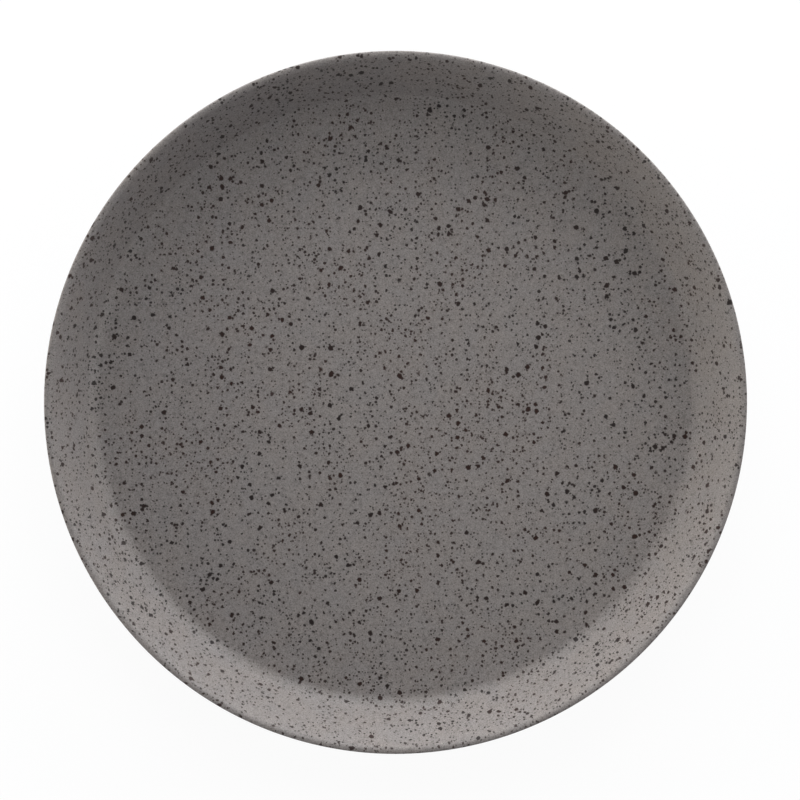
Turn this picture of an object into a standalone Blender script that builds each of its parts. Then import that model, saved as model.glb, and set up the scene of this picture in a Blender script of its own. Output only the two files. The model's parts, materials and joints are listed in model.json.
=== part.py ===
"""Round stoneware salad plate: a pressed clay body with coats of glaze on its face, on its back and inside
its foot ring.

Every piece is turned about the Z axis from one outline of the finished plate. Sizes are in metres, +Z is
up, and the origin is the middle of the plate at the height of the table.
"""

import math
from collections import namedtuple

import bmesh
import bpy
from mathutils import Matrix, Vector

# Finished plate, measured over the glaze
RIM_RADIUS = 0.1025  # middle of the plate to the outside of the lip
RIM_HEIGHT = 0.0218  # table to the top of the lip
WELL_RADIUS = 0.0892  # middle of the plate to the corner where the floor turns up into the wall
FLOOR_THICKNESS = 0.0043  # floor of the well to the underside
WALL_THICKNESS = 0.0033  # square through the flared wall
LIP_WIDTH = 0.0018  # across the top of the lip, corner to corner

# Foot ring
FOOT_RADIUS = 0.0700  # middle of the plate to the middle of the ring
FOOT_HEIGHT = 0.0024  # table to the underside
FOOT_TREAD_WIDTH = 0.0052  # across the ring at the table, corner to corner
FOOT_ROOT_WIDTH = 0.0074  # across the ring at the underside, corner to corner

# Radii of the rounded corners
WELL_BEND = 0.0055
LIP_INNER_ROUND = 0.0019
LIP_OUTER_ROUND = 0.0005
LIP_UNDER_ROUND = 0.0015
HEEL_BEND = 0.0080
FOOT_ROOT_ROUND = 0.0012
FOOT_EDGE_ROUND = 0.0005

# Glaze
GLAZE_THICKNESS = 0.0004
GLAZE_CLEARANCE = 0.0003  # kept between a coat and the clay, and between two coats
GLAZE_LINE = 0.0011  # table to the wiped edge of the glaze on the foot ring

# Facets and merging
TURN_STEPS = 64  # round the plate
ARC_STEPS = 3  # round each corner of the outline
LEAST_ROUND = 0.00005  # radius left on a corner that is inset by more than its own radius
MERGE_DISTANCE = 0.000001
SHARP_ANGLE = math.radians(40)

# Colours and roughness
CLAY_COLOUR = (0.47, 0.38, 0.29)
CLAY_ROUGHNESS = 0.90
GLAZE_COLOUR = (0.175, 0.160, 0.153)
GLAZE_ROUGHNESS = 0.50

Corner = namedtuple("Corner", "point radius")


def plate_corners():
    """Corners of the finished plate as (radius, height), from the middle of the face round to the back."""
    floor = FOOT_HEIGHT + FLOOR_THICKNESS
    root = FOOT_ROOT_WIDTH / 2
    tread = FOOT_TREAD_WIDTH / 2
    well_bend = Vector((WELL_RADIUS, floor))
    lip_inside = Vector((RIM_RADIUS - LIP_WIDTH, RIM_HEIGHT))
    up_wall = (lip_inside - well_bend).normalized()
    outer_wall = well_bend + Vector((up_wall.y, -up_wall.x)) * WALL_THICKNESS
    lip_underside = outer_wall + up_wall * (RIM_RADIUS - outer_wall.x) / up_wall.x
    heel = outer_wall + up_wall * (FOOT_HEIGHT - outer_wall.y) / up_wall.y
    return {
        "middle_of_face": Corner(Vector((0, floor)), 0),
        "well_bend": Corner(well_bend, WELL_BEND),
        "lip_inside": Corner(lip_inside, LIP_INNER_ROUND),
        "lip_outside": Corner(Vector((RIM_RADIUS, RIM_HEIGHT)), LIP_OUTER_ROUND),
        "lip_underside": Corner(lip_underside, LIP_UNDER_ROUND),
        "heel": Corner(heel, HEEL_BEND),
        "foot_outer_root": Corner(Vector((FOOT_RADIUS + root, FOOT_HEIGHT)), FOOT_ROOT_ROUND),
        "foot_outer_edge": Corner(Vector((FOOT_RADIUS + tread, 0)), FOOT_EDGE_ROUND),
        "foot_inner_edge": Corner(Vector((FOOT_RADIUS - tread, 0)), FOOT_EDGE_ROUND),
        "foot_inner_root": Corner(Vector((FOOT_RADIUS - root, FOOT_HEIGHT)), FOOT_ROOT_ROUND),
        "middle_of_back": Corner(Vector((0, FOOT_HEIGHT)), 0),
    }


def turn_between(before, after):
    """Angle from one direction to the next: positive round a hollow corner, negative round a full one."""
    return math.atan2(before.cross(after), before.dot(after))


def fitted_radii(corners, directions):
    """The corners' radii, made smaller where two neighbours leave no straight between them.

    Drawing the clay in under the glaze takes a least radius from each full corner, however small its own is.
    """
    turns = [turn_between(before, after) for before, after in zip(directions, directions[1:])]
    turns = [0, *turns, 0]
    drawn_in = GLAZE_THICKNESS + GLAZE_CLEARANCE + LEAST_ROUND
    least = [drawn_in if turn < 0 else 0 for turn in turns]
    half_tangents = [math.tan(abs(turn) / 2) for turn in turns]
    spare_radii = [max(corner.radius - taken, 0) for corner, taken in zip(corners, least)]
    shares = [1.0] * len(corners)
    for i in range(len(directions)):
        room = (corners[i + 1].point - corners[i].point).length - LEAST_ROUND
        room -= least[i] * half_tangents[i] + least[i + 1] * half_tangents[i + 1]
        wanted = spare_radii[i] * half_tangents[i] + spare_radii[i + 1] * half_tangents[i + 1]
        if wanted > room:
            shares[i] = min(shares[i], max(room, 0) / wanted)
            shares[i + 1] = min(shares[i + 1], max(room, 0) / wanted)
    return [corner.radius - spare * (1 - share) for corner, spare, share in zip(corners, spare_radii, shares)]


def inset_point(point, before, after, depth_before, depth_after):
    """A corner after the edges on its two sides have moved into the plate by their depths."""
    normal_before = Vector((before.y, -before.x))
    normal_after = Vector((after.y, -after.x))
    lean = normal_before.dot(normal_after)
    spread = 1 - lean * lean
    along_before = (depth_before - lean * depth_after) / spread
    along_after = (depth_after - lean * depth_before) / spread
    return point + normal_before * along_before + normal_after * along_after


def corner_arc(point, before, after, radius):
    """Points along the arc that rounds one corner, in the order of the outline."""
    turn = turn_between(before, after)
    start = point - before * radius * math.tan(abs(turn) / 2)
    side = math.copysign(1, turn)
    centre = start + Vector((-before.y, before.x)) * radius * side
    return [
        centre + Matrix.Rotation(turn * step / ARC_STEPS, 2) @ (start - centre) for step in range(ARC_STEPS + 1)
    ]


def outline(depth):
    """Rounded outline of the plate with every surface but the foot ring's tread moved in by this depth."""
    named = plate_corners()
    names = list(named)
    corners = list(named.values())
    directions = [(end.point - start.point).normalized() for start, end in zip(corners, corners[1:])]
    radii = fitted_radii(corners, directions)
    depths = [0 if name == "foot_outer_edge" else depth for name in names[:-1]]
    arcs = {
        "middle_of_face": [corners[0].point - Vector((0, depth))],
        "middle_of_back": [corners[-1].point + Vector((0, depth))],
    }
    for i in range(1, len(corners) - 1):
        before = directions[i - 1]
        after = directions[i]
        point = inset_point(corners[i].point, before, after, depths[i - 1], depths[i])
        change = math.copysign(min(depths[i - 1], depths[i]), turn_between(before, after))
        arcs[names[i]] = corner_arc(point, before, after, max(radii[i] + change, LEAST_ROUND))
    return arcs


def down_to_glaze_line(points):
    """The stretch of a path towards the foot ring that lies above the wiped edge of the glaze."""
    kept = [points[0]]
    for point in points[1:]:
        if point.y < GLAZE_LINE:
            last = kept[-1]
            kept.append(last.lerp(point, (last.y - GLAZE_LINE) / (last.y - point.y)))
            break
        kept.append(point)
    return kept


def body_path():
    """Outline of the clay: the finished plate less the glaze, with the tread left at the table."""
    arcs = outline(GLAZE_THICKNESS + GLAZE_CLEARANCE)
    return [point for name in plate_corners() for point in arcs[name]]


def face_coat(arcs):
    """Surface of the face, from its middle over the lip to the top of the lip's upright side."""
    return arcs["middle_of_face"] + arcs["well_bend"] + arcs["lip_inside"] + arcs["lip_outside"]


def back_coat(arcs):
    """Surface of the back, from just below the face coat down to the outside of the foot ring."""
    start = arcs["lip_outside"][-1] - Vector((0, GLAZE_CLEARANCE))
    to_heel = arcs["lip_underside"] + arcs["heel"]
    to_foot = arcs["foot_outer_root"] + arcs["foot_outer_edge"]
    return down_to_glaze_line([start] + to_heel + to_foot)


def recess_coat(arcs):
    """Surface inside the foot ring, from the middle of the back to the inside of the ring."""
    to_foot = arcs["foot_inner_edge"] + arcs["foot_inner_root"]
    return down_to_glaze_line(arcs["middle_of_back"] + to_foot[::-1])


def coat_path(surface):
    """Outline of a coat of glaze: its outer surface, then its inner surface back to the start."""
    return surface(outline(0)) + surface(outline(GLAZE_THICKNESS))[::-1]


def finish(name, colour, roughness):
    """A plain material for one piece."""
    material = bpy.data.materials.new(name)
    material.use_nodes = True
    shader = material.node_tree.nodes["Principled BSDF"]
    shader.inputs["Base Color"].default_value = (*colour, 1)
    shader.inputs["Roughness"].default_value = roughness
    shader.inputs["Metallic"].default_value = 0
    return material


def turned_piece(name, path, material, parent):
    """One closed piece, made by turning its outline once round the Z axis."""
    shape = bmesh.new()
    verts = [shape.verts.new((point.x, 0, point.y)) for point in path]
    for first, second in zip(verts, verts[1:]):
        shape.edges.new((first, second))
    if path[0].x > MERGE_DISTANCE:
        shape.edges.new((verts[-1], verts[0]))
    bmesh.ops.spin(
        shape,
        geom=shape.verts[:] + shape.edges[:],
        cent=(0, 0, 0),
        axis=(0, 0, 1),
        angle=2 * math.pi,
        steps=TURN_STEPS,
        use_merge=True,
    )
    bmesh.ops.remove_doubles(shape, verts=shape.verts[:], dist=MERGE_DISTANCE)
    bmesh.ops.recalc_face_normals(shape, faces=shape.faces[:])
    mesh = bpy.data.meshes.new(name)
    shape.to_mesh(mesh)
    shape.free()
    mesh.materials.append(material)
    mesh.shade_smooth()
    mesh.set_sharp_from_angle(angle=SHARP_ANGLE)
    piece = bpy.data.objects.new(name, mesh)
    piece.parent = parent
    bpy.context.scene.collection.objects.link(piece)
    return piece


def main():
    for old in list(bpy.data.objects):
        bpy.data.objects.remove(old, do_unlink=True)
    plate = bpy.data.objects.new("salad_plate", None)
    bpy.context.scene.collection.objects.link(plate)
    clay = finish("bare_stoneware", CLAY_COLOUR, CLAY_ROUGHNESS)
    turned_piece("stoneware_body", body_path(), clay, plate)
    coats = {"face_glaze": face_coat, "back_glaze": back_coat, "foot_recess_glaze": recess_coat}
    for name, surface in coats.items():
        glaze = finish(name + "_finish", GLAZE_COLOUR, GLAZE_ROUGHNESS)
        turned_piece(name, coat_path(surface), glaze, plate)


main()
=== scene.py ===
# %% [markdown]
# # A speckled stoneware salad plate
#
# This lesson gives a plain CAD plate its looks: smooth turned surfaces, a satin glaze full of iron specks,
# and a bare clay foot ring. The CAD plate comes in as a fixed frame, in metres, standing on the table at
# height zero. Nothing here moves it. Each new piece is laid over a CAD piece and takes its place.

import json
import math

import bmesh
import bpy
from mathutils import Matrix, Vector


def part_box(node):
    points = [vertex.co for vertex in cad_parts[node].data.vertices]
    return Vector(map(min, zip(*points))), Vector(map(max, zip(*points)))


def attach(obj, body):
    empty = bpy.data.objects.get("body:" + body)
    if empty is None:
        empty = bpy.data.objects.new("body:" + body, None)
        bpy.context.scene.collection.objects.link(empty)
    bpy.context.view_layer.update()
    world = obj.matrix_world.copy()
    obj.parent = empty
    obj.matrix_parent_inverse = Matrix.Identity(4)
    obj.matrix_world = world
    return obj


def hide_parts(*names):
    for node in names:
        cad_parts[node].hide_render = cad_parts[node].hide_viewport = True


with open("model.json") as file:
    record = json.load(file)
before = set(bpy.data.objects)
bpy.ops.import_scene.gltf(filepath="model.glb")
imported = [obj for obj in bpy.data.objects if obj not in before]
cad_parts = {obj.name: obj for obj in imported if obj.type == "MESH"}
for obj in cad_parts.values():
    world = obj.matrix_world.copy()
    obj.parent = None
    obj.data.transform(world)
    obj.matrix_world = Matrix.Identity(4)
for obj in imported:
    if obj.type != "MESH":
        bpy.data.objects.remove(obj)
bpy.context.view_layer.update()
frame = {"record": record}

# %% [markdown]
# ## The half section
#
# A plate is a turned form, so one half section tells everything about its shape: the line that runs from
# the middle of the face, up the wall, over the lip and back under the plate to the middle of the foot.
# The frame already knows the rim, the well floor, the foot ring and the line where the glaze stops, so
# those sizes are read from it. The rest are written here once, as a potter would note them.

# %% Sizes read from the frame and sizes noted here
MM = 0.001
rim_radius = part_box("face_glaze")[1].x
rim_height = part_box("face_glaze")[1].z
seam_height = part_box("back_glaze")[1].z
glaze_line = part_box("back_glaze")[0].z
resting_places = {mount["name"]: Vector(mount["pos_m"]) for mount in frame["record"]["mounts"]}
floor_height = resting_places["well_floor"].z
foot_radius = resting_places["foot_ring_tread"].x

WELL_RADIUS = 89.2 * MM
WALL_THICKNESS = 3.3 * MM
LIP_WIDTH = 1.8 * MM
FOOT_HEIGHT = 2.4 * MM
FOOT_TREAD_WIDTH = 5.2 * MM
FOOT_ROOT_WIDTH = 7.4 * MM
GLAZE_THICKNESS = 0.4 * MM

WELL_BEND = 5.5 * MM
LIP_INNER_ROUND = 1.9 * MM
LIP_OUTER_ROUND = 0.5 * MM
LIP_UNDER_ROUND = 1.5 * MM
HEEL_BEND = 8.0 * MM
FOOT_ROOT_ROUND = 1.2 * MM
FOOT_EDGE_ROUND = 0.5 * MM
print(f"rim {rim_radius / MM:.1f} mm out and {rim_height / MM:.1f} mm up")
print(f"floor of the well {floor_height / MM:.1f} mm up, foot ring {foot_radius / MM:.1f} mm out")

# %% Corners of the half section, as radius, height and round
well_corner = Vector((WELL_RADIUS, floor_height))
lip_corner = Vector((rim_radius - LIP_WIDTH, rim_height))
up_wall = (lip_corner - well_corner).normalized()
outer_wall = well_corner + Vector((up_wall.y, -up_wall.x)) * WALL_THICKNESS
under_lip = outer_wall + up_wall * (rim_radius - outer_wall.x) / up_wall.x
heel = outer_wall + up_wall * (FOOT_HEIGHT - outer_wall.y) / up_wall.y


def beside_foot(height):
    """Half the foot ring's width at a height: it is wider at its root than at its tread."""
    share = height / FOOT_HEIGHT
    return (FOOT_TREAD_WIDTH * (1 - share) + FOOT_ROOT_WIDTH * share) / 2


face_corners = [
    (0, floor_height, 0),
    (*well_corner, WELL_BEND),
    (*lip_corner, LIP_INNER_ROUND),
    (rim_radius, rim_height, LIP_OUTER_ROUND),
]
back_corners = [
    (*under_lip, LIP_UNDER_ROUND),
    (*heel, HEEL_BEND),
    (foot_radius + beside_foot(FOOT_HEIGHT), FOOT_HEIGHT, FOOT_ROOT_ROUND),
]
tread_corners = [
    (foot_radius + beside_foot(0), 0, FOOT_EDGE_ROUND),
    (foot_radius - beside_foot(0), 0, FOOT_EDGE_ROUND),
]
recess_corners = [
    (foot_radius - beside_foot(FOOT_HEIGHT), FOOT_HEIGHT, FOOT_ROOT_ROUND),
    (0, FOOT_HEIGHT, 0),
]
print(f"the wall leans {math.degrees(math.atan2(up_wall.y, up_wall.x)):.1f} degrees up from the floor")

# %% [markdown]
# ## From a wire to a turned surface
#
# The half section starts as a wire with sharp corners. A vertex bevel rounds each corner, which is easier
# to change later than a list of points on an arc. The spin operator then turns the wire once round the
# Z axis. Points on the axis are spun onto themselves, so doubles are merged before the normals are
# worked out. A Screw modifier would do the same, but spin leaves a plain mesh that can be worked on.

# %% Wire and spin helpers
CORNER_SEGMENTS = 8
RING_SPACING = 8 * MM
TURN_STEPS = 256
MERGE_DISTANCE = 0.001 * MM


def rounded_wire(corners):
    """A bmesh with one wire through the corners, each corner bevelled to its round."""
    shape = bmesh.new()
    verts = [shape.verts.new((radius, 0, height)) for radius, height, _ in corners]
    for pair in zip(verts, verts[1:]):
        shape.edges.new(pair)
    points = [vert.co.copy() for vert in verts]
    for i in range(1, len(corners) - 1):
        turn = (points[i] - points[i - 1]).angle(points[i + 1] - points[i])
        bmesh.ops.bevel(
            shape,
            geom=[verts[i]],
            affect="VERTICES",
            offset_type="OFFSET",
            offset=corners[i][2] * math.tan(turn / 2),
            segments=CORNER_SEGMENTS,
            profile=0.5,
            material=-1,
        )
    for edge in [edge for edge in shape.edges if edge.calc_length() > RING_SPACING]:
        bmesh.ops.subdivide_edges(shape, edges=[edge], cuts=int(edge.calc_length() / RING_SPACING))
    return shape


def turn_round(shape):
    """Turns a wire into a surface about the Z axis, closed where the turn ends and on the axis."""
    bmesh.ops.spin(
        shape,
        geom=shape.verts[:] + shape.edges[:],
        cent=(0, 0, 0),
        axis=(0, 0, 1),
        angle=2 * math.pi,
        steps=TURN_STEPS,
        use_merge=True,
    )
    bmesh.ops.remove_doubles(shape, verts=shape.verts[:], dist=MERGE_DISTANCE)
    bmesh.ops.recalc_face_normals(shape, faces=shape.faces[:])


# %% [markdown]
# ## Laying a turned surface flat
#
# A bake turns the fine specks into a picture, and it needs a flat map of the surface. A turned form has a
# natural one: keep each point's direction from the axis, and use its distance along the half section as
# its distance from the middle of the map. So each wire notes, on every vertex, how far along it lies, and
# spin copies the note to all vertices of a ring. The side that shows gets nearly the whole square, and
# the side that lies on the clay is laid out small in a corner. The note is deleted once the map is made.

# %% Map helpers
SHOWN_MIDDLE = Vector((0.5, 0.5))
SHOWN_REACH = 0.49
HIDDEN_MIDDLE = Vector((0.07, 0.07))
HIDDEN_REACH = 0.06


def note_along(shape, start):
    """Notes on each vertex of a wire how far along the wire it lies, and returns the whole length."""
    along = shape.verts.layers.float.new("along")
    vert = min(shape.verts, key=lambda end: (end.co - Vector((start[0], 0, start[1]))).length)
    edge = None
    distance = 0
    while vert is not None:
        vert[along] = distance
        edge = next((other for other in vert.link_edges if other is not edge), None)
        distance += edge.calc_length() if edge else 0
        vert = edge.other_vert(vert) if edge else None
    return distance


def lay_flat(shape, faces, pole, middle, reach):
    """Lays faces on the bake map round a middle, as far out as they lie along the section from its pole."""
    along = shape.verts.layers.float["along"]
    bake_map = shape.loops.layers.uv.verify()
    span = max(abs(vert[along] - pole) for face in faces for vert in face.verts)
    for face in faces:
        for loop in face.loops:
            outward = loop.vert.co.xy.normalized()
            loop[bake_map].uv = middle + outward * reach * abs(loop.vert[along] - pole) / span


# %% [markdown]
# ## Pieces that stand for CAD pieces
#
# Each finished mesh becomes an object at the origin, riding on the plate's one rigid body, and the CAD
# piece of the same name is hidden in its place. Edges sharper than a set angle stay crisp, and all
# other faces are shaded smooth.

# %% Object helper
SHARP_ANGLE = math.radians(40)


def plate_piece(name, shape):
    """Makes an object of a bmesh, and puts it in the place of the CAD node of the same name."""
    mesh = bpy.data.meshes.new(name)
    shape.to_mesh(mesh)
    shape.free()
    mesh.shade_smooth()
    mesh.set_sharp_from_angle(angle=SHARP_ANGLE)
    if mesh.uv_layers:
        mesh.uv_layers[0].name = "OFBake"
    piece = bpy.data.objects.new(name + "_piece", mesh)
    bpy.context.scene.collection.objects.link(piece)
    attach(piece, "root")
    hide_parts(name)
    print(f"{piece.name}: {len(mesh.vertices)} vertices, {len(mesh.polygons)} faces")
    return piece


# %% [markdown]
# ## The clay body
#
# Under the glaze lies one pressed piece of clay. It is turned from the whole section and then drawn in,
# along its normals, by the thickness of the glaze, so that the coats sit on it with no gap. The tread
# keeps its place, because no glaze lies there and the plate stands on it.

# %% Make the clay body
BARE_HEIGHT = 0.6 * MM

clay_shape = rounded_wire(face_corners + back_corners + tread_corners + recess_corners)
turn_round(clay_shape)
for vert in clay_shape.verts:
    vert.co -= vert.normal * GLAZE_THICKNESS * min(vert.co.z / BARE_HEIGHT, 1)
clay_body = plate_piece("stoneware_body", clay_shape)

# %% [markdown]
# ## The coats of glaze
#
# Glaze is a thin glassy skin. Each coat is turned from its own stretch of the section, and solidify gives
# the skin its thickness on the clay side. The face coat and the back coat meet on the outside of the
# lip, where the real coats melt into each other. On the foot ring the glaze is wiped off by hand with a
# sponge, so its lower edge wanders a little, and a bevel rolls it over into a soft bead.

# %% Coat helpers
WIPE_WANDER = ((7, 0.06 * MM, 0.4), (17, 0.05 * MM, 2.1), (31, 0.03 * MM, 4.4))
BEAD_ROUND = 0.2 * MM
BEAD_SEGMENTS = 4
HIDDEN_MARGIN = 0.02


def wander_glaze_line(shape):
    """Lets the wiped edge of a coat rise and fall round the foot ring, and returns its vertices."""
    wiped = [vert for vert in shape.verts if abs(vert.co.z - glaze_line) < MERGE_DISTANCE]
    for vert in wiped:
        angle = math.atan2(vert.co.y, vert.co.x)
        vert.co.z += sum(size * math.sin(count * angle + phase) for count, size, phase in WIPE_WANDER)
    return wiped


def thicken(shape, length):
    """Gives a turned skin its thickness, and marks the faces that lie on the clay with material index 1."""
    along = shape.verts.layers.float["along"]
    shown = set(shape.faces)
    shown_verts = set(shape.verts)
    bmesh.ops.solidify(shape, geom=list(shown), thickness=GLAZE_THICKNESS)
    for face in shape.faces:
        face.material_index = 0 if face in shown else 1
    for vert in shape.verts:
        if vert not in shown_verts:
            vert[along] = length * HIDDEN_MARGIN + vert[along] * (1 - 2 * HIDDEN_MARGIN)


def roll_bead(shape, wiped):
    """Rounds the wiped edge of a coat."""
    along = shape.verts.layers.float["along"]
    wiped = set(wiped)
    edges = [edge for edge in shape.edges if wiped.issuperset(edge.verts)]
    edge_radius = edges[0].verts[0].co.xy.length
    bead = bmesh.ops.bevel(
        shape,
        geom=edges,
        affect="EDGES",
        offset_type="OFFSET",
        offset=BEAD_ROUND,
        segments=BEAD_SEGMENTS,
        profile=0.5,
        material=-1,
    )
    for face in bead["faces"]:
        face.material_index = 0
    for vert in {vert for face in bead["faces"] for vert in face.verts}:
        vert[along] += abs(vert.co.xy.length - edge_radius)


# %% Make the coats
seam = (rim_radius, seam_height, 0)
wiped_outside = (foot_radius + beside_foot(glaze_line), glaze_line, 0)
wiped_inside = (foot_radius - beside_foot(glaze_line), glaze_line, 0)
coat_corners = {
    "face_glaze": face_corners + [seam],
    "back_glaze": [wiped_outside] + back_corners[::-1] + [seam],
    "foot_recess_glaze": recess_corners[::-1] + [wiped_inside],
}
coats = {}
for name, corners in coat_corners.items():
    shape = rounded_wire(corners)
    length = note_along(shape, corners[0])
    turn_round(shape)
    wiped = wander_glaze_line(shape)
    thicken(shape, length)
    if wiped:
        roll_bead(shape, wiped)
    pole = -corners[0][0]
    shown = [face for face in shape.faces if face.material_index == 0]
    hidden = [face for face in shape.faces if face.material_index == 1]
    lay_flat(shape, shown, pole, SHOWN_MIDDLE, SHOWN_REACH)
    lay_flat(shape, hidden, pole, HIDDEN_MIDDLE, HIDDEN_REACH)
    for face in hidden:
        face.material_index = 0
    shape.verts.layers.float.remove(shape.verts.layers.float["along"])
    coats[name] = plate_piece(name, shape)

# %% [markdown]
# ## Small helpers for shader nodes
#
# A material is a tree of nodes, and building one in code is mostly making nodes and joining sockets. A few
# helpers keep that short: one makes a node and fills its inputs by name, one makes a Math node and hands
# back its result, and one mixes two colours. Each takes either a plain value or another node's output.

# %% Node helpers


def feed(tree, socket, value):
    """Joins an output to an input socket, or sets the input to a plain value."""
    if isinstance(value, bpy.types.NodeSocket):
        tree.links.new(value, socket)
    else:
        socket.default_value = value


def add_node(tree, kind, inputs=None, **settings):
    """Makes a node, sets its own settings, and fills its inputs by name."""
    node = tree.nodes.new(kind)
    for name, value in settings.items():
        setattr(node, name, value)
    for name, value in (inputs or {}).items():
        feed(tree, node.inputs[name], value)
    return node


def calculate(tree, operation, *values, clamp=False):
    """Makes a Math node of numbers and outputs, and returns its result."""
    node = add_node(tree, "ShaderNodeMath", operation=operation, use_clamp=clamp)
    for socket, value in zip(node.inputs, values):
        feed(tree, socket, value)
    return node.outputs["Value"]


def mix_colours(tree, share, first, second):
    """Makes a Mix node that goes from one colour to another, and returns the colour."""
    node = add_node(tree, "ShaderNodeMix", {"Factor": share}, data_type="RGBA")
    colour_inputs = [socket for socket in node.inputs if socket.type == "RGBA"]
    for socket, colour in zip(colour_inputs, (first, second)):
        feed(tree, socket, colour)
    return next(socket for socket in node.outputs if socket.type == "RGBA")


def noise(tree, place, scale, detail, roughness=0.5):
    """Makes a Noise texture, and returns its value."""
    inputs = {"Vector": place, "Scale": scale, "Detail": detail, "Roughness": roughness}
    return add_node(tree, "ShaderNodeTexNoise", inputs).outputs["Fac"]


def stretch(tree, value, low, high, new_low, new_high):
    """Makes a Map Range node that stretches a value from one range to another, and returns its result."""
    inputs = {"Value": value, "From Min": low, "From Max": high, "To Min": new_low, "To Max": new_high}
    return add_node(tree, "ShaderNodeMapRange", inputs).outputs["Result"]


def new_group(name, inputs, outputs):
    """Makes a shader node group with named sockets, and returns it with its input and output nodes."""
    group = bpy.data.node_groups.new(name, "ShaderNodeTree")
    for socket_name, kind in inputs.items():
        group.interface.new_socket(socket_name, in_out="INPUT", socket_type="NodeSocket" + kind)
    for socket_name, kind in outputs.items():
        group.interface.new_socket(socket_name, in_out="OUTPUT", socket_type="NodeSocket" + kind)
    return group, group.nodes.new("NodeGroupInput"), group.nodes.new("NodeGroupOutput")


def use_group(tree, group, inputs):
    """Places a node group in a tree."""
    node = add_node(tree, "ShaderNodeGroup", node_tree=group)
    for name, value in inputs.items():
        feed(tree, node.inputs[name], value)
    return node


# %% [markdown]
# ## Specks as a node group
#
# The dark specks are grains of iron in the clay that melt and bleed into the glaze. They come in many
# sizes, so one layer of dots would look printed. The group below makes one layer: a 3D Voronoi texture
# puts one grain in each cell of space, and the surface cuts through it. Because grains are balls, the
# flat floor and the steep wall get round specks of the same kind with no stretching. The random colour of
# the cell sets the size of its grain and whether it is there at all, and a little noise in the place
# makes its outline ragged. Both the glaze and the clay use the group, with their own values.

# %% Sockets of the speck group
speck_group, speck_in, speck_out = new_group(
    "specks",
    {
        "Place": "Vector",
        "Cell": "Float",
        "Largest": "Float",
        "Smallest": "Float",
        "Share": "Float",
        "Ragged": "Float",
        "Softness": "Float",
    },
    {"Mask": "Float"},
)
tree = speck_group
place = speck_in.outputs["Place"]
cell = speck_in.outputs["Cell"]
largest = speck_in.outputs["Largest"]
smallest = speck_in.outputs["Smallest"]
print(f"node group {speck_group.name}: {len(speck_in.outputs) - 1} inputs")

# %% Ragged places, and one grain in each cell
WOBBLES_PER_GRAIN = 0.9
NOISE_MIDDLE = (0.5, 0.5, 0.5)
SMALL_GRAIN_BIAS = 1.6

wobble_scale = calculate(tree, "DIVIDE", WOBBLES_PER_GRAIN, largest)
wobble_inputs = {"Vector": place, "Scale": wobble_scale, "Detail": 1.0}
wobble = add_node(tree, "ShaderNodeTexNoise", wobble_inputs)
centred = add_node(tree, "ShaderNodeVectorMath", operation="SUBTRACT")
feed(tree, centred.inputs[0], wobble.outputs["Color"])
feed(tree, centred.inputs[1], NOISE_MIDDLE)
shifted = add_node(tree, "ShaderNodeVectorMath", operation="MULTIPLY_ADD")
feed(tree, shifted.inputs[0], centred.outputs["Vector"])
feed(tree, shifted.inputs[1], calculate(tree, "MULTIPLY", speck_in.outputs["Ragged"], largest))
feed(tree, shifted.inputs[2], place)

grains_per_metre = calculate(tree, "DIVIDE", 1.0, cell)
grain_inputs = {"Vector": shifted.outputs["Vector"], "Scale": grains_per_metre}
grains = add_node(tree, "ShaderNodeTexVoronoi", grain_inputs)
chance = add_node(tree, "ShaderNodeSeparateXYZ", {"Vector": grains.outputs["Color"]})
size_chance = calculate(tree, "POWER", chance.outputs["X"], SMALL_GRAIN_BIAS)
size_range = calculate(tree, "SUBTRACT", largest, smallest)
grain_radius = calculate(tree, "MULTIPLY_ADD", size_range, size_chance, smallest)
print(f"node group {speck_group.name}: {len(speck_group.nodes)} nodes for the grains")

# %% Soft edge of a grain, and whether it is there
half_edge = calculate(tree, "MULTIPLY", speck_in.outputs["Softness"], 0.5)
inside = add_node(
    tree,
    "ShaderNodeMapRange",
    {
        "Value": calculate(tree, "MULTIPLY", grains.outputs["Distance"], cell),
        "From Min": calculate(tree, "ADD", grain_radius, half_edge),
        "From Max": calculate(tree, "SUBTRACT", grain_radius, half_edge),
    },
    interpolation_type="SMOOTHSTEP",
)
present = calculate(tree, "LESS_THAN", chance.outputs["Y"], speck_in.outputs["Share"])
feed(tree, speck_out.inputs["Mask"], calculate(tree, "MULTIPLY", inside.outputs["Result"], present))
print(f"node group {speck_group.name}: {len(speck_group.nodes)} nodes in all")

# %% [markdown]
# ## The speckled glaze
#
# The glaze is a warm grey satin. Its specks come in layers, from a few large dark ones to a dust of tiny
# ones. Some iron lies deeper in the glaze and shows only as a soft shade. A slow noise gathers the specks
# into loose clusters, and the dust into patches of its own. On the steep wall the glaze runs thinner, so
# less iron bleeds into it and its specks are a shade paler. The lengths of a layer are in millimetres, and
# each layer is moved a different way, so that no two layers share their cells.

# %% Speck layers of the glaze
LAYER_SOCKETS = ("Cell", "Largest", "Smallest", "Share", "Ragged", "Softness")
LENGTH_SOCKETS = ("Cell", "Largest", "Smallest", "Softness")
SPECK_LAYERS = {
    "large": (2.9, 0.80, 0.42, 0.79, 1.10, 0.30),
    "medium": (1.5, 0.50, 0.22, 0.82, 1.15, 0.22),
    "small": (1.0, 0.36, 0.17, 0.46, 1.10, 0.18),
    "dust": (0.7, 0.13, 0.07, 0.18, 0.50, 0.12),
    "sunk": (1.6, 0.60, 0.30, 0.60, 0.90, 0.60),
}
LAYER_STRENGTH = {"large": 0.98, "medium": 0.95, "small": 0.86, "dust": 0.60, "sunk": 0.22}
LAYER_SHIFT = {"large": 0.3, "medium": 0.7, "small": 1.1, "dust": 1.9, "sunk": 2.3}
SHIFT_ASIDE = 0.53
SHIFT_RISE = 0.3


def layer_inputs(layer):
    """The sockets of a speck layer, with its lengths turned from millimetres into metres."""
    named = zip(LAYER_SOCKETS, layer)
    return {name: value * MM if name in LENGTH_SOCKETS else value for name, value in named}


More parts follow.
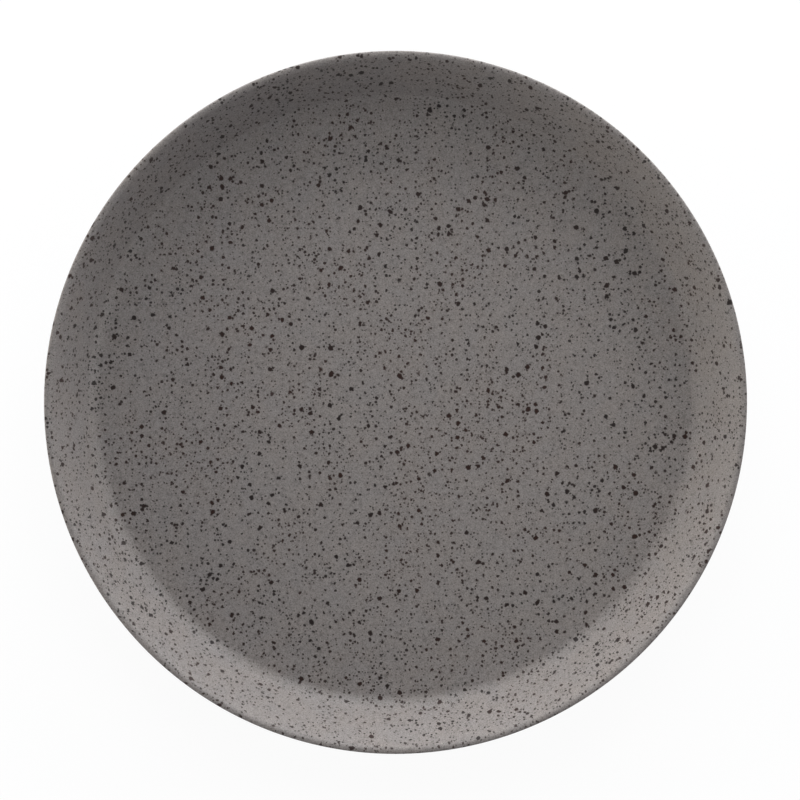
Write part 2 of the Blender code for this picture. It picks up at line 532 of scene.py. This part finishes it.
for name, layer in SPECK_LAYERS.items():
    print(f"{name} specks, up to {2 * layer[1]:.2f} mm across")

# %% Lay the specks over each other
CLUSTER_SCALE = 85.0
CLUSTER_RANGE = (0.3, 0.7, 0.65, 1.35)
DUST_CLUSTER_SCALE = 130.0
DUST_CLUSTER_RANGE = (0.4, 0.65, 0.25, 1.75)
WALL_SPECK_STRENGTH = 0.95
WALL_START = floor_height + 1.0 * MM
WALL_FULL = floor_height + 4.0 * MM

glaze = bpy.data.materials.new("speckled_glaze_finish")
glaze.use_nodes = True
tree = glaze.node_tree
place = add_node(tree, "ShaderNodeTexCoord").outputs["Object"]
crowding = stretch(tree, noise(tree, place, CLUSTER_SCALE, 1.0), *CLUSTER_RANGE)
dust_crowding = stretch(tree, noise(tree, place, DUST_CLUSTER_SCALE, 1.0), *DUST_CLUSTER_RANGE)

clear = 1.0
for name, layer in SPECK_LAYERS.items():
    shift = (LAYER_SHIFT[name], SHIFT_ASIDE, SHIFT_RISE * LAYER_SHIFT[name])
    moved = add_node(tree, "ShaderNodeMapping", {"Vector": place, "Location": shift})
    inputs = layer_inputs(layer)
    inputs["Place"] = moved.outputs["Vector"]
    layer_crowding = dust_crowding if name == "dust" else crowding
    inputs["Share"] = calculate(tree, "MULTIPLY", layer_crowding, inputs["Share"])
    mask = use_group(tree, speck_group, inputs).outputs["Mask"]
    left_clear = calculate(tree, "MULTIPLY_ADD", mask, -LAYER_STRENGTH[name], 1.0)
    clear = calculate(tree, "MULTIPLY", clear, left_clear)
height = add_node(tree, "ShaderNodeSeparateXYZ", {"Vector": place}).outputs["Z"]
thinning = stretch(tree, height, WALL_START, WALL_FULL, 1.0, WALL_SPECK_STRENGTH)
speck_cover = calculate(tree, "MULTIPLY", calculate(tree, "SUBTRACT", 1.0, clear), thinning)
print(f"{len(SPECK_LAYERS)} layers of specks, {len(tree.nodes)} nodes so far")

# %% [markdown]
# ## The colour and gloss of the glaze
#
# The grey itself drifts a little between a cool and a warm tone, and it is grainy like any sprayed coat.
# The colour goes from that grey to near black on the specks, with a touch of rust in some patches, where
# the iron has bled further. Gloss is left to the Principled shader: a satin roughness that drops on the
# specks, where melted iron makes the glaze run smoother, and the faint orange-peel bump that a sprayed
# glaze has.

# %% Colour of the glaze
GLAZE_COOL = (0.1750, 0.1597, 0.1510, 1)
GLAZE_WARM = (0.1790, 0.1603, 0.1485, 1)
IRON_BLACK = (0.0095, 0.0053, 0.0046, 1)
IRON_RUST = (0.0165, 0.0052, 0.0030, 1)
DRIFT_SCALE = 130.0
DRIFT_RANGE = (0.35, 0.65, 0.0, 1.0)
RUST_SCALE = 75.0
RUST_RANGE = (0.38, 0.62, 0.0, 1.0)
GRAIN_SCALE = 2600.0
GRAIN_ROUGHNESS = 0.8
GRAIN_DEPTH = 0.95

drift = stretch(tree, noise(tree, place, DRIFT_SCALE, 2.0), *DRIFT_RANGE)
grain = noise(tree, place, GRAIN_SCALE, 2.0, GRAIN_ROUGHNESS)
ground = mix_colours(tree, drift, GLAZE_COOL, GLAZE_WARM)
grainy = add_node(tree, "ShaderNodeVectorMath", operation="SCALE")
feed(tree, grainy.inputs["Vector"], ground)
feed(tree, grainy.inputs["Scale"], stretch(tree, grain, 0.0, 1.0, 1 - GRAIN_DEPTH, 1 + GRAIN_DEPTH))
shader = tree.nodes["Principled BSDF"]
rust = stretch(tree, noise(tree, place, RUST_SCALE, 1.0), *RUST_RANGE)
iron = mix_colours(tree, rust, IRON_BLACK, IRON_RUST)
feed(tree, shader.inputs["Base Color"], mix_colours(tree, speck_cover, grainy.outputs["Vector"], iron))
print(f"{glaze.name}: {len(tree.nodes)} nodes with its colour")

# %% Gloss of the glaze
GLAZE_ROUGHNESS = 0.43
PEEL_ROUGHNESS = 0.08
SPECK_ROUGHNESS = -0.07
PEEL_SCALE = 320.0
PEEL_DEPTH = 0.012 * MM
GLAZE_SPECULAR = 0.32

peel = noise(tree, place, PEEL_SCALE, 2.0)
roughness = calculate(tree, "MULTIPLY_ADD", peel, PEEL_ROUGHNESS, GLAZE_ROUGHNESS)
roughness = calculate(tree, "MULTIPLY_ADD", speck_cover, SPECK_ROUGHNESS, roughness)
feed(tree, shader.inputs["Roughness"], roughness)
bump = add_node(tree, "ShaderNodeBump", {"Height": peel, "Distance": PEEL_DEPTH, "Strength": 1.0})
feed(tree, shader.inputs["Normal"], bump.outputs["Normal"])
shader.inputs["Specular IOR Level"].default_value = GLAZE_SPECULAR

for coat in coats.values():
    coat.data.materials.append(glaze)
print(f"{glaze.name}: {len(tree.nodes)} nodes, on {len(coats)} coats")

# %% [markdown]
# ## The bare clay
#
# Where the glaze was wiped off, the fired stoneware shows: a dry buff brown with fine sand in it. One noise
# makes the sand, in colour, roughness and bump, and the speck group comes in again for the dark iron.

# %% Make the clay
CLAY_PALE = (0.52, 0.425, 0.325, 1)
CLAY_DEEP = (0.40, 0.315, 0.235, 1)
CLAY_IRON = (0.09, 0.06, 0.045, 1)
CLAY_SPECKS = (1.1, 0.22, 0.08, 0.35, 0.50, 0.12)
CLAY_ROUGHNESS = 0.82
SAND_SCALE = 900.0
SAND_DETAIL = 5.0
SAND_COARSENESS = 0.7
SAND_ROUGHNESS = 0.12
SAND_DEPTH = 0.05 * MM

clay = bpy.data.materials.new("bare_stoneware_finish")
clay.use_nodes = True
tree = clay.node_tree
shader = tree.nodes["Principled BSDF"]
place = add_node(tree, "ShaderNodeTexCoord").outputs["Object"]
sand = noise(tree, place, SAND_SCALE, SAND_DETAIL, SAND_COARSENESS)
iron = use_group(tree, speck_group, {**layer_inputs(CLAY_SPECKS), "Place": place}).outputs["Mask"]
ground = mix_colours(tree, sand, CLAY_DEEP, CLAY_PALE)
feed(tree, shader.inputs["Base Color"], mix_colours(tree, iron, ground, CLAY_IRON))
roughness = calculate(tree, "MULTIPLY_ADD", sand, SAND_ROUGHNESS, CLAY_ROUGHNESS)
feed(tree, shader.inputs["Roughness"], roughness)
bump = add_node(tree, "ShaderNodeBump", {"Height": sand, "Distance": SAND_DEPTH, "Strength": 1.0})
feed(tree, shader.inputs["Normal"], bump.outputs["Normal"])
clay_body.data.materials.append(clay)
print(f"{clay.name}: {len(tree.nodes)} nodes")

# %% [markdown]
# ## The camera
#
# The plate was photographed from above, with the camera about two degrees off the plumb line. It stands
# well back with a long lens, so the rim and the well keep nearly true proportions. The size and the middle of
# the rim in the picture give the lens and the point that the camera looks at. A camera that leans sees the
# near side of the rim a little larger than the far side, and that moves the middle of the rim in the
# picture towards the near side. So the point that it looks at moves with it.

# %% Place the camera
CAMERA_DISTANCE = 1.3
LEAN_RIGHT = math.radians(-1.5)
LEAN_BACK = math.radians(1.1)
CAMERA_LEAN = Vector((math.tan(LEAN_RIGHT), math.tan(LEAN_BACK), 1))
PHOTO_SIZE = 800
RIM_PIXELS = 351.6
MIDDLE_PIXEL = Vector((395.0, 401.85))

metres_per_pixel = rim_radius / RIM_PIXELS
photo_middle = Vector((PHOTO_SIZE - 1, PHOTO_SIZE - 1)) / 2
off_middle = (photo_middle - MIDDLE_PIXEL) * metres_per_pixel
camera_data = bpy.data.cameras.new("camera")
camera_data.lens = camera_data.sensor_width * CAMERA_DISTANCE / (PHOTO_SIZE * metres_per_pixel)
camera = bpy.data.objects.new("camera", camera_data)
nearer_side = CAMERA_LEAN.xy * rim_radius**2 / CAMERA_DISTANCE
look_at = Vector((off_middle.x + nearer_side.x, nearer_side.y - off_middle.y, seam_height))
camera.location = look_at + CAMERA_LEAN.normalized() * CAMERA_DISTANCE
camera.rotation_euler = Vector((0, 0, 1)).rotation_difference(CAMERA_LEAN).to_euler()
bpy.context.scene.collection.objects.link(camera)
bpy.context.scene.camera = camera
print(f"lens {camera_data.lens:.0f} mm, camera {camera.location.z:.3f} m up")

# %% [markdown]
# ## The floor
#
# The floor is a plain white sheet. It lies a hair below the foot ring, because two surfaces in the very
# same place would flicker. To the camera, and in reflections, most of its light is a glow of strength 1,
# so that it reads as white paper and still keeps a soft shadow of the plate. Under the rim the glow
# fades, so that the dark shadow close round the foot stays and the plate looks set down. From below the
# sheet is clear, so that the underside can be looked at. Inside the foot ring, and less and less from there
# out to the heel, it also lets the sky's light through, so that the underside isn't black.

# %% Make the floor
FLOOR_HALF = 3.0
FLOOR_GAP = 0.02 * MM

floor_shape = bmesh.new()
lowered = Matrix.Translation((0, 0, -FLOOR_GAP))
bmesh.ops.create_grid(floor_shape, x_segments=1, y_segments=1, size=FLOOR_HALF, matrix=lowered)
floor_mesh = bpy.data.meshes.new("floor")
floor_shape.to_mesh(floor_mesh)
floor_shape.free()
floor = bpy.data.objects.new("floor", floor_mesh)
bpy.context.scene.collection.objects.link(floor)
print(f"floor {2 * FLOOR_HALF:.0f} m square, {FLOOR_GAP / MM:.2f} mm below the foot ring")

# %% Glow of the sheet
FLOOR_GLOW_SHARE = 0.94
SHADED_GLOW_SHARE = 0.20
SHADED_RADIUS = 80 * MM
OPEN_RADIUS = rim_radius + 1.5 * MM

paper = bpy.data.materials.new("white_paper")
paper.use_nodes = True
tree = paper.node_tree
tree.nodes.remove(tree.nodes["Principled BSDF"])
rays = add_node(tree, "ShaderNodeLightPath").outputs
mirrored = calculate(tree, "MAXIMUM", rays["Is Glossy Ray"], rays["Is Transmission Ray"])
from_axis = add_node(tree, "ShaderNodeVectorMath", operation="LENGTH")
feed(tree, from_axis.inputs[0], add_node(tree, "ShaderNodeTexCoord").outputs["Object"])
radius = from_axis.outputs["Value"]
glow_share = stretch(tree, radius, SHADED_RADIUS, OPEN_RADIUS, SHADED_GLOW_SHARE, FLOOR_GLOW_SHARE)
seen_glow = calculate(tree, "MULTIPLY", rays["Is Camera Ray"], glow_share)
mirrored_glow = calculate(tree, "MULTIPLY", mirrored, FLOOR_GLOW_SHARE)
glow_part = calculate(tree, "MAXIMUM", seen_glow, mirrored_glow)
print(f"glow fades from {OPEN_RADIUS / MM:.1f} to {SHADED_RADIUS / MM:.1f} mm from the axis")

# %% Finish of the sheet
FLOOR_COLOUR = (0.92, 0.92, 0.92, 1)
FOOT_OUTSIDE = foot_radius + beside_foot(FOOT_HEIGHT)
HEEL_SHADE_RADIUS = 90 * MM

behind = add_node(tree, "ShaderNodeNewGeometry").outputs["Backfacing"]
under_foot = stretch(tree, radius, FOOT_OUTSIDE, HEEL_SHADE_RADIUS, 1.0, 0.0)
lighting = calculate(tree, "MAXIMUM", rays["Is Diffuse Ray"], rays["Is Shadow Ray"])
let_through = calculate(tree, "MAXIMUM", behind, calculate(tree, "MULTIPLY", under_foot, lighting))
sheet = add_node(tree, "ShaderNodeBsdfDiffuse", {"Color": FLOOR_COLOUR}).outputs["BSDF"]
glow = add_node(tree, "ShaderNodeEmission", {"Strength": 1.0}).outputs["Emission"]
see_through = add_node(tree, "ShaderNodeBsdfTransparent").outputs["BSDF"]
lit = add_node(tree, "ShaderNodeMixShader", {"Fac": glow_part})
feed(tree, lit.inputs[1], sheet)
feed(tree, lit.inputs[2], glow)
one_sided = add_node(tree, "ShaderNodeMixShader", {"Fac": let_through})
feed(tree, one_sided.inputs[1], lit.outputs["Shader"])
feed(tree, one_sided.inputs[2], see_through)
feed(tree, tree.nodes["Material Output"].inputs["Surface"], one_sided.outputs["Shader"])
floor.data.materials.append(paper)
print(f"{paper.name}: {len(tree.nodes)} nodes")

# %% [markdown]
# ## Soft studio light
#
# The light comes low from the back, as from a broad window: the far wall of the plate lies in its own
# shade, and the near wall catches the light. A wide low panel gives that, with a weaker one on its right
# and one high above it. A long warm strip stands on the left, and a weak warm panel hangs high on the
# right. A cool sky that is pale at the horizon and dim overhead fills in. Their strengths are set so that
# a colour renders about as it is written. The low back panel and the strip light the glaze but aren't
# mirrored in it, because their glare would hide the well from anyone who looks from the side across from
# them. The camera sees white all round, and so do reflections, up to the dim ceiling.

# %% Make the panels
COOL = (0.972, 0.996, 1.020)
WARM = (1.0, 0.985, 0.900)
PANELS = {
    "back_panel": {"azimuth": 90, "distance": 1.1, "height": 0.26, "size": (1.4, 0.5), "watts": 20.0},
    "back_right_panel": {"azimuth": 45, "distance": 1.1, "height": 0.28, "size": (1.2, 0.5), "watts": 4.8},
    "high_back_panel": {"azimuth": 90, "distance": 0.8, "height": 0.95, "size": (1.2, 0.7), "watts": 6.1},
    "left_strip": {"azimuth": 180, "distance": 1.2, "height": 0.20, "size": (1.6, 0.4), "watts": 14.3},
    "high_right_panel": {"azimuth": 0, "distance": 0.8, "height": 0.95, "size": (1.2, 0.7), "watts": 2.6},
}
WARM_PANELS = ("left_strip", "high_right_panel")
HIDDEN_IN_GLAZE = ("back_panel", "left_strip")

for name, panel in PANELS.items():
    light_data = bpy.data.lights.new(name, "AREA")
    light_data.shape = "RECTANGLE"
    light_data.size, light_data.size_y = panel["size"]
    light_data.energy = panel["watts"]
    light_data.color = WARM if name in WARM_PANELS else COOL
    light = bpy.data.objects.new(name, light_data)
    azimuth = math.radians(panel["azimuth"])
    away = Vector((math.cos(azimuth), math.sin(azimuth), 0)) * panel["distance"]
    light.location = away + Vector((0, 0, panel["height"]))
    light.rotation_euler = light.location.to_track_quat("Z", "Y").to_euler()
    light.visible_camera = False
    light.visible_glossy = name not in HIDDEN_IN_GLAZE
    bpy.context.scene.collection.objects.link(light)
print(f"{len(PANELS)} panels, {sum(panel['watts'] for panel in PANELS.values()):.0f} W in all")

# %% Make the sky
SKY_COLOUR = (0.970, 1.0, 1.120, 1)
SKY_OVERHEAD = 0.03
SKY_HORIZON = 0.77
CEILING_RANGE = (0.4, 0.7, 1.0, 0.0)
WHITE = (1, 1, 1, 1)

world = bpy.data.worlds.new("soft_sky")
world.use_nodes = True
tree = world.node_tree
direction = add_node(tree, "ShaderNodeTexCoord").outputs["Generated"]
upward = add_node(tree, "ShaderNodeSeparateXYZ", {"Vector": direction}).outputs["Z"]
fill = stretch(tree, upward, 0.0, 1.0, SKY_HORIZON, SKY_OVERHEAD)
backdrop = stretch(tree, upward, *CEILING_RANGE)
rays = add_node(tree, "ShaderNodeLightPath").outputs
mirrored = calculate(tree, "MAXIMUM", rays["Is Glossy Ray"], rays["Is Transmission Ray"])
white = calculate(tree, "MAXIMUM", rays["Is Camera Ray"], calculate(tree, "MULTIPLY", mirrored, backdrop))
tint = mix_colours(tree, white, SKY_COLOUR, WHITE)
feed(tree, tree.nodes["Background"].inputs["Color"], tint)
feed(tree, tree.nodes["Background"].inputs["Strength"], calculate(tree, "MAXIMUM", fill, white))
bpy.context.scene.world = world
bpy.context.scene.view_settings.view_transform = "Standard"
print(f"sky from {SKY_HORIZON} at the horizon to {SKY_OVERHEAD} overhead, white to the camera")
